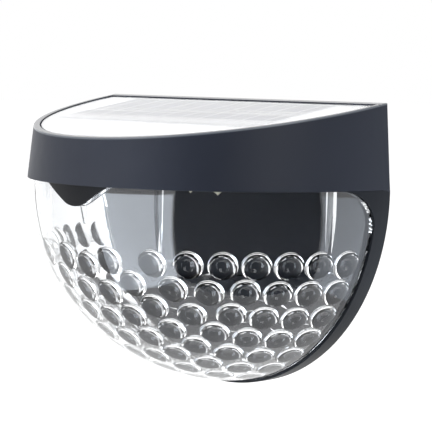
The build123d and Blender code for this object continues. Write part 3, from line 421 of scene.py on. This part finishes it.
# ---- solar panel ----
# A glossy clear sheet over five dark silicon cells with fine silver fingers, on a white-faced board
# that is glued to the hood's ledge.
sheet_clear = clear_plastic("sheet_clear", (0.97, 0.98, 1.0), rough=0.03, ior=1.55)
SHEET_RISE = 0.0005
SHEET_EDGE = 0.00015
FACING = 0.9
sheet = merged_copy("panel_sheet", "panel_cover")
for face in sheet.data.polygons:
    face.select = face.normal.z > FACING
bpy.ops.object.mode_set(mode="EDIT")
bpy.ops.transform.translate(value=(0, -HOOD_SLOPE * SHEET_RISE, SHEET_RISE))
bpy.ops.mesh.region_to_loop()
round_edges(sheet, SHEET_EDGE, segments=2)
sheet.data.materials.clear()
sheet.data.materials.append(sheet_clear)
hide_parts("panel_cover")
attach(sheet, "light")


CELL_DARK = (0.008, 0.012, 0.045)
CELL_LIGHT = (0.016, 0.026, 0.085)
SILVER = (0.45, 0.46, 0.48)
FINGER_PITCH = 0.0016
FINGER_WIDTH = 0.00012
BUS_BAR_PITCH = 0.0085
BUS_BAR_WIDTH = 0.0006
BUS_BAR_SHIFT = 0.00425


def silicon():
    """Dark blue silicon with fine silver fingers and wider bus bars square to them."""
    mat, tree, shader = new_material("cell_silicon")
    place = tree.nodes.new("ShaderNodeTexCoord")
    split = tree.nodes.new("ShaderNodeSeparateXYZ")
    tree.links.new(place.outputs["Object"], split.inputs["Vector"])

    def lines(axis, pitch, width, shift=0.0):
        moved = node(tree, "ShaderNodeMath", operation="ADD")
        moved.inputs[1].default_value = shift
        step = node(tree, "ShaderNodeMath", operation="PINGPONG")
        step.inputs[1].default_value = pitch / 2
        under = node(tree, "ShaderNodeMath", operation="LESS_THAN")
        under.inputs[1].default_value = width / 2
        tree.links.new(split.outputs[axis], moved.inputs[0])
        tree.links.new(moved.outputs["Value"], step.inputs[0])
        tree.links.new(step.outputs["Value"], under.inputs[0])
        return under.outputs["Value"]

    both = node(tree, "ShaderNodeMath", operation="MAXIMUM")
    tree.links.new(lines("Y", FINGER_PITCH, FINGER_WIDTH), both.inputs[0])
    tree.links.new(lines("X", BUS_BAR_PITCH, BUS_BAR_WIDTH, BUS_BAR_SHIFT), both.inputs[1])
    flakes = node(tree, "ShaderNodeTexVoronoi", Scale=260.0)
    tree.links.new(place.outputs["Object"], flakes.inputs["Vector"])
    drift_colour(tree, CELL_DARK, CELL_LIGHT, flakes.outputs["Distance"], shader)
    mark = node(tree, "ShaderNodeMix", data_type="RGBA")
    mark.inputs["B"].default_value = (*SILVER, 1)
    tree.links.new(both.outputs["Value"], mark.inputs["Factor"])
    tree.links.new(shader.inputs["Base Color"].links[0].from_socket, mark.inputs["A"])
    tree.links.new(mark.outputs["Result"], shader.inputs["Base Color"])
    shader.inputs["Roughness"].default_value = 0.25
    return mat


finish_node("solar_cells", silicon())

BOARD_WHITE = ((0.42, 0.43, 0.45), (0.50, 0.51, 0.53))
white_board = moulded_plastic("white_board", *BOARD_WHITE, rough=0.35, grain=1800.0, strength=0.1)
finish_node("panel_board", white_board)
finish_node("led_board", white_board)
glue = moulded_plastic("glue_bead", (0.60, 0.60, 0.56), (0.72, 0.72, 0.68), rough=0.55, grain=900.0)
finish_node("panel_adhesive", glue)

# ---- inner wires ----
# Stranded copper in soft red vinyl with a dull sheen: a pair from the panel's board to the control
# board, and a pair from there to the lamps' board.
WIRE_RED = ((0.30, 0.012, 0.010), (0.38, 0.020, 0.016))
wire_vinyl = moulded_plastic("wire_vinyl", *WIRE_RED, rough=0.38, grain=1500.0, strength=0.1)
for name in ("panel_wires", "lamp_wires"):
    finish_node(name, wire_vinyl)

# ---- lamps and control board ----
# Six wide-angle lamps with yellow phosphor under clear epoxy, on a white board; the control board
# behind them is green fibreglass with a driver chip, a choke and a capacitor.
lamp_body = moulded_plastic("lamp_epoxy", (0.50, 0.48, 0.38), (0.58, 0.57, 0.47), rough=0.12,
                            grain=1200.0, strength=0.05)
finish_node("leds", lamp_body)
green_board = moulded_plastic("green_board", (0.010, 0.085, 0.035), (0.018, 0.12, 0.05), rough=0.35,
                              grain=1500.0, strength=0.15)
finish_node("control_board", green_board)
black_resin = moulded_plastic("black_resin", (0.010, 0.010, 0.011), (0.020, 0.020, 0.021), rough=0.42)
for name in ("driver_chip", "inductor", "capacitor", "switch_body"):
    finish_node(name, black_resin)

# ---- slide switch knob ----
# A small black acetal slider with grip grooves, in a recess beside the battery cover.
knob_plastic = moulded_plastic("knob_acetal", (0.014, 0.014, 0.015), (0.026, 0.026, 0.027), rough=0.30,
                               grain=3000.0, strength=0.2)
finish_node("switch_knob", knob_plastic)


# ---- battery, contacts, spring and inner screws ----
# A nickel-plated cell in a green film sleeve, between spring-steel contacts. Zinc-plated screws
# hold the boards, and four more the hood.
DRAWN_LINES = (900, 900, 6000)
DARKER_SHARE = 0.85
METAL_GLOSSIER = 0.06
METAL_DULLER = 0.10


def brushed_metal(name, tint, rough):
    """Plated steel with fine drawn lines in its gloss."""
    mat, tree, shader = new_material(name)
    shader.inputs["Metallic"].default_value = 1.0
    place = tree.nodes.new("ShaderNodeTexCoord")
    drawn = node(tree, "ShaderNodeMapping", Scale=DRAWN_LINES)
    lines = node(tree, "ShaderNodeTexNoise", Scale=1.0, Detail=3.0)
    darker = [DARKER_SHARE * part for part in tint]
    tree.links.new(place.outputs["Object"], drawn.inputs["Vector"])
    tree.links.new(drawn.outputs["Vector"], lines.inputs["Vector"])
    drift_colour(tree, darker, tint, lines.outputs["Fac"], shader)
    drift_gloss(tree, rough - METAL_GLOSSIER, rough + METAL_DULLER, lines.outputs["Fac"], shader)
    return mat


nickel = brushed_metal("nickel_plate", (0.74, 0.72, 0.68), rough=0.22)
zinc = brushed_metal("zinc_plate", (0.66, 0.67, 0.68), rough=0.30)
for name in ("battery_cell", "battery_contacts", "contact_spring"):
    finish_node(name, nickel)
for name in ("hood_screws", "board_screws"):
    finish_node(name, zinc)
sleeve_film = moulded_plastic("sleeve_film", (0.02, 0.16, 0.06), (0.03, 0.20, 0.08), rough=0.15,
                              strength=0.05)
finish_node("battery_sleeve", sleeve_film)

# ---- cover screws ----
# Two countersunk tapping screws with cross recesses, zinc-plated, that hold the battery cover down
# on its seal. Their heads lie flush in the cover.
COVER_SCREW_X = 0.0302
COVER_SCREW_Z = 0.0092
COVER_SCREW_FACE = -0.0003
RECESS_ARM = 0.0034
RECESS_WIDTH = 0.0009
RECESS_DEPTH = 0.0013
RECESS_TAPER = 0.5
dark_zinc = brushed_metal("dark_zinc_plate", (0.40, 0.41, 0.43), rough=0.36)
cover_screws = merged_copy("cover_screw_pair", "cover_screws")
arms = []
for spot_x in (-COVER_SCREW_X, COVER_SCREW_X):
    spot = (spot_x, COVER_SCREW_FACE, COVER_SCREW_Z)
    for long, tall in ((RECESS_ARM, RECESS_WIDTH), (RECESS_WIDTH, RECESS_ARM)):
        bpy.ops.object.select_all(action="DESELECT")
        bpy.ops.mesh.primitive_cube_add(size=1.0, location=spot, scale=(long, 2 * RECESS_DEPTH, tall))
        arm = bpy.context.object
        bpy.ops.object.mode_set(mode="EDIT")
        bpy.ops.mesh.select_all(action="DESELECT")
        bpy.ops.object.mode_set(mode="OBJECT")
        for face in arm.data.polygons:
            face.select = face.normal.y < -FACING
        bpy.ops.object.mode_set(mode="EDIT")
        bpy.ops.transform.resize(value=(RECESS_TAPER, 1, RECESS_TAPER), center_override=spot)
        bpy.ops.object.mode_set(mode="OBJECT")
        arms.append(arm)
for arm in arms:
    cut = cover_screws.modifiers.new("cross recess", "BOOLEAN")
    cut.operation = "DIFFERENCE"
    cut.solver = "EXACT"
    cut.object = arm
    bpy.ops.object.select_all(action="DESELECT")
    cover_screws.select_set(True)
    bpy.context.view_layer.objects.active = cover_screws
    bpy.ops.object.modifier_apply(modifier=cut.name)
    bpy.data.objects.remove(arm)
bpy.ops.object.shade_smooth_by_angle(angle=SOFT_ANGLE)
cover_screws.data.materials.clear()
cover_screws.data.materials.append(dark_zinc)
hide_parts("cover_screws")
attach(cover_screws, "light")

# ---- floor ----
# Plain white studio paper a little below the light, which hangs free as it would on a wall. Where
# it is seen as the backdrop it is lifted towards white, and it keeps the light's shadow.
FLOOR_Z = -0.125
PAPER_WHITE = (0.86, 0.86, 0.86, 1)
PAPER_LIFT = 0.62


def seen_as_backdrop(tree):
    """1 for rays that see the backdrop: the camera's, reflected ones and ones through clear plastic."""
    path = tree.nodes.new("ShaderNodeLightPath")
    seen = path.outputs["Is Camera Ray"]
    for ray in ("Is Glossy Ray", "Is Transmission Ray"):
        either = node(tree, "ShaderNodeMath", operation="MAXIMUM")
        tree.links.new(seen, either.inputs[0])
        tree.links.new(path.outputs[ray], either.inputs[1])
        seen = either.outputs["Value"]
    return seen


bpy.ops.object.select_all(action="DESELECT")
bpy.ops.mesh.primitive_plane_add(size=12.0, location=(0, 0, FLOOR_Z))
floor = bpy.context.object
floor.name = "floor"
floor_mat, tree, shader = new_material("studio_paper")
shader.inputs["Base Color"].default_value = PAPER_WHITE
shader.inputs["Roughness"].default_value = 0.9
glow = tree.nodes.new("ShaderNodeEmission")
lift = tree.nodes.new("ShaderNodeAddShader")
part = node(tree, "ShaderNodeMath", operation="MULTIPLY")
part.inputs[1].default_value = PAPER_LIFT
tree.links.new(seen_as_backdrop(tree), part.inputs[0])
tree.links.new(part.outputs["Value"], glow.inputs["Strength"])
tree.links.new(shader.outputs["BSDF"], lift.inputs[0])
tree.links.new(glow.outputs["Emission"], lift.inputs[1])
tree.links.new(lift.outputs["Shader"], tree.nodes["Material Output"].inputs["Surface"])
floor.data.materials.append(floor_mat)

# ---- cards round the light ----
# Card boards as a photographer sets round glass: black ones on the camera's side, white ones to the
# left, to the right and behind. Only reflections see them, so they put no light on matt faces.
COOL_WHITE = (0.86, 0.92, 1.0)
PLAIN_WHITE = (1.0, 1.0, 1.0)
CARD_THICKNESS = 0.001


def card(name, brightness, corners, tint=COOL_WHITE):
    """A card with its four corners at the given places, seen by reflections alone."""
    mat, tree, shader = new_material(name)
    shader.inputs["Base Color"].default_value = (0, 0, 0, 1)
    shader.inputs["Specular IOR Level"].default_value = 0.0
    shader.inputs["Emission Color"].default_value = (*tint, 1)
    shader.inputs["Emission Strength"].default_value = brightness
    path = tree.nodes.new("ShaderNodeLightPath")
    reflected = node(tree, "ShaderNodeMath", operation="GREATER_THAN")
    reflected.inputs[1].default_value = 0.5
    clear = tree.nodes.new("ShaderNodeBsdfTransparent")
    either = tree.nodes.new("ShaderNodeMixShader")
    tree.links.new(path.outputs["Glossy Depth"], reflected.inputs[0])
    tree.links.new(reflected.outputs["Value"], either.inputs[0])
    tree.links.new(clear.outputs["BSDF"], either.inputs[1])
    tree.links.new(shader.outputs["BSDF"], either.inputs[2])
    tree.links.new(either.outputs["Shader"], tree.nodes["Material Output"].inputs["Surface"])
    bpy.ops.object.select_all(action="DESELECT")
    bpy.ops.mesh.primitive_plane_add(size=1.0)
    board = bpy.context.object
    board.name = name
    for vertex, corner in zip(board.data.vertices, corners):
        vertex.co = corner
    board.data.materials.append(mat)
    for seen_by in ("camera", "diffuse", "shadow", "volume_scatter"):
        setattr(board, "visible_" + seen_by, False)


def round_the_light(angle, reach, height):
    """A corner by its angle from the front in degrees, its distance from the middle and its height."""
    return reach * sin(radians(angle)), -reach * cos(radians(angle)), height


def on_paper(start, end, near, far):
    """Corners of a card on the paper, by its angles from the front and its distances."""
    level = FLOOR_Z + CARD_THICKNESS
    return [round_the_light(angle, reach, level) for reach in (near, far) for angle in (start, end)]


def upright(start, end, reach, top):
    """Corners of a card that stands on the paper."""
    return [round_the_light(angle, reach, height) for height in (FLOOR_Z, top) for angle in (start, end)]


card("black_card_on_paper", 0.0, on_paper(16, 96, near=0.13, far=2.4))
card("black_card_behind_camera", 0.0, upright(12, 100, reach=2.2, top=1.6))
card("white_card_left", 5.5, on_paper(-30, 15, near=0.13, far=1.2))
card("white_card_right", 2.4, on_paper(97, 150, near=0.13, far=1.2))
card("white_card_behind", 1.52, upright(-165, -95, reach=1.6, top=1.4), tint=PLAIN_WHITE)

# ---- studio light ----
# A white surround, a large soft box high on the left front, and a fill on the right. The surround
# is white where it is seen, and lights the object at less than half of that.
SURROUND_LIGHT = 0.45
SURROUND_SEEN = 1.0
world = bpy.data.worlds.new("studio")
bpy.context.scene.world = world
world.use_nodes = True
sky = world.node_tree
sky.nodes["Background"].inputs["Color"].default_value = (1, 1, 1, 1)
sky_range = node(sky, "ShaderNodeMapRange")
sky_range.inputs["To Min"].default_value = SURROUND_LIGHT
sky_range.inputs["To Max"].default_value = SURROUND_SEEN
sky.links.new(seen_as_backdrop(sky), sky_range.inputs["Value"])
sky.links.new(sky_range.outputs["Result"], sky.nodes["Background"].inputs["Strength"])
LAMP_AIM = Vector((0, -0.03, -0.01))


def soft_box(name, spot, size, power):
    """A rectangular area lamp that faces the light."""
    data = bpy.data.lights.new(name, "AREA")
    data.shape = "RECTANGLE"
    data.size, data.size_y = size
    data.energy = power
    lamp = bpy.data.objects.new(name, data)
    bpy.context.scene.collection.objects.link(lamp)
    lamp.location = spot
    lamp.rotation_euler = (LAMP_AIM - Vector(spot)).to_track_quat("-Z", "Y").to_euler()
    lamp.visible_camera = False


soft_box("key_box", (-0.35, -0.95, 0.75), (0.7, 0.7), 8.0)
soft_box("fill_box", (0.95, -0.35, 0.35), (0.5, 0.8), 4.0)

# ---- camera ----
# At the photograph's viewing angle: slightly above the seam, to the light's front right.
SENSOR = 36.0
LENS_LENGTH = 158.95
AZIMUTH = radians(47.317)
ELEVATION = radians(4.499)
ROLL = radians(0.872)
DISTANCE = 0.52764
TARGET = Vector((0.022567, -0.030, -0.008320))
CLIP_NEAR = 0.01
CLIP_FAR = 50
right = Vector((cos(AZIMUTH), sin(AZIMUTH), 0))
back = Vector((sin(AZIMUTH) * cos(ELEVATION), -cos(AZIMUTH) * cos(ELEVATION), sin(ELEVATION)))
up = back.cross(right)
across = right * cos(ROLL) + up * sin(ROLL)
upward = up * cos(ROLL) - right * sin(ROLL)
camera_data = bpy.data.cameras.new("camera")
camera_data.lens = LENS_LENGTH
camera_data.sensor_width = SENSOR
camera_data.clip_start = CLIP_NEAR
camera_data.clip_end = CLIP_FAR
camera = bpy.data.objects.new("camera", camera_data)
bpy.context.scene.collection.objects.link(camera)
camera.matrix_world = Matrix((across, upward, back)).transposed().to_4x4()
camera.location = TARGET + back * DISTANCE
bpy.context.scene.camera = camera

bpy.context.scene.view_settings.view_transform = "Standard"
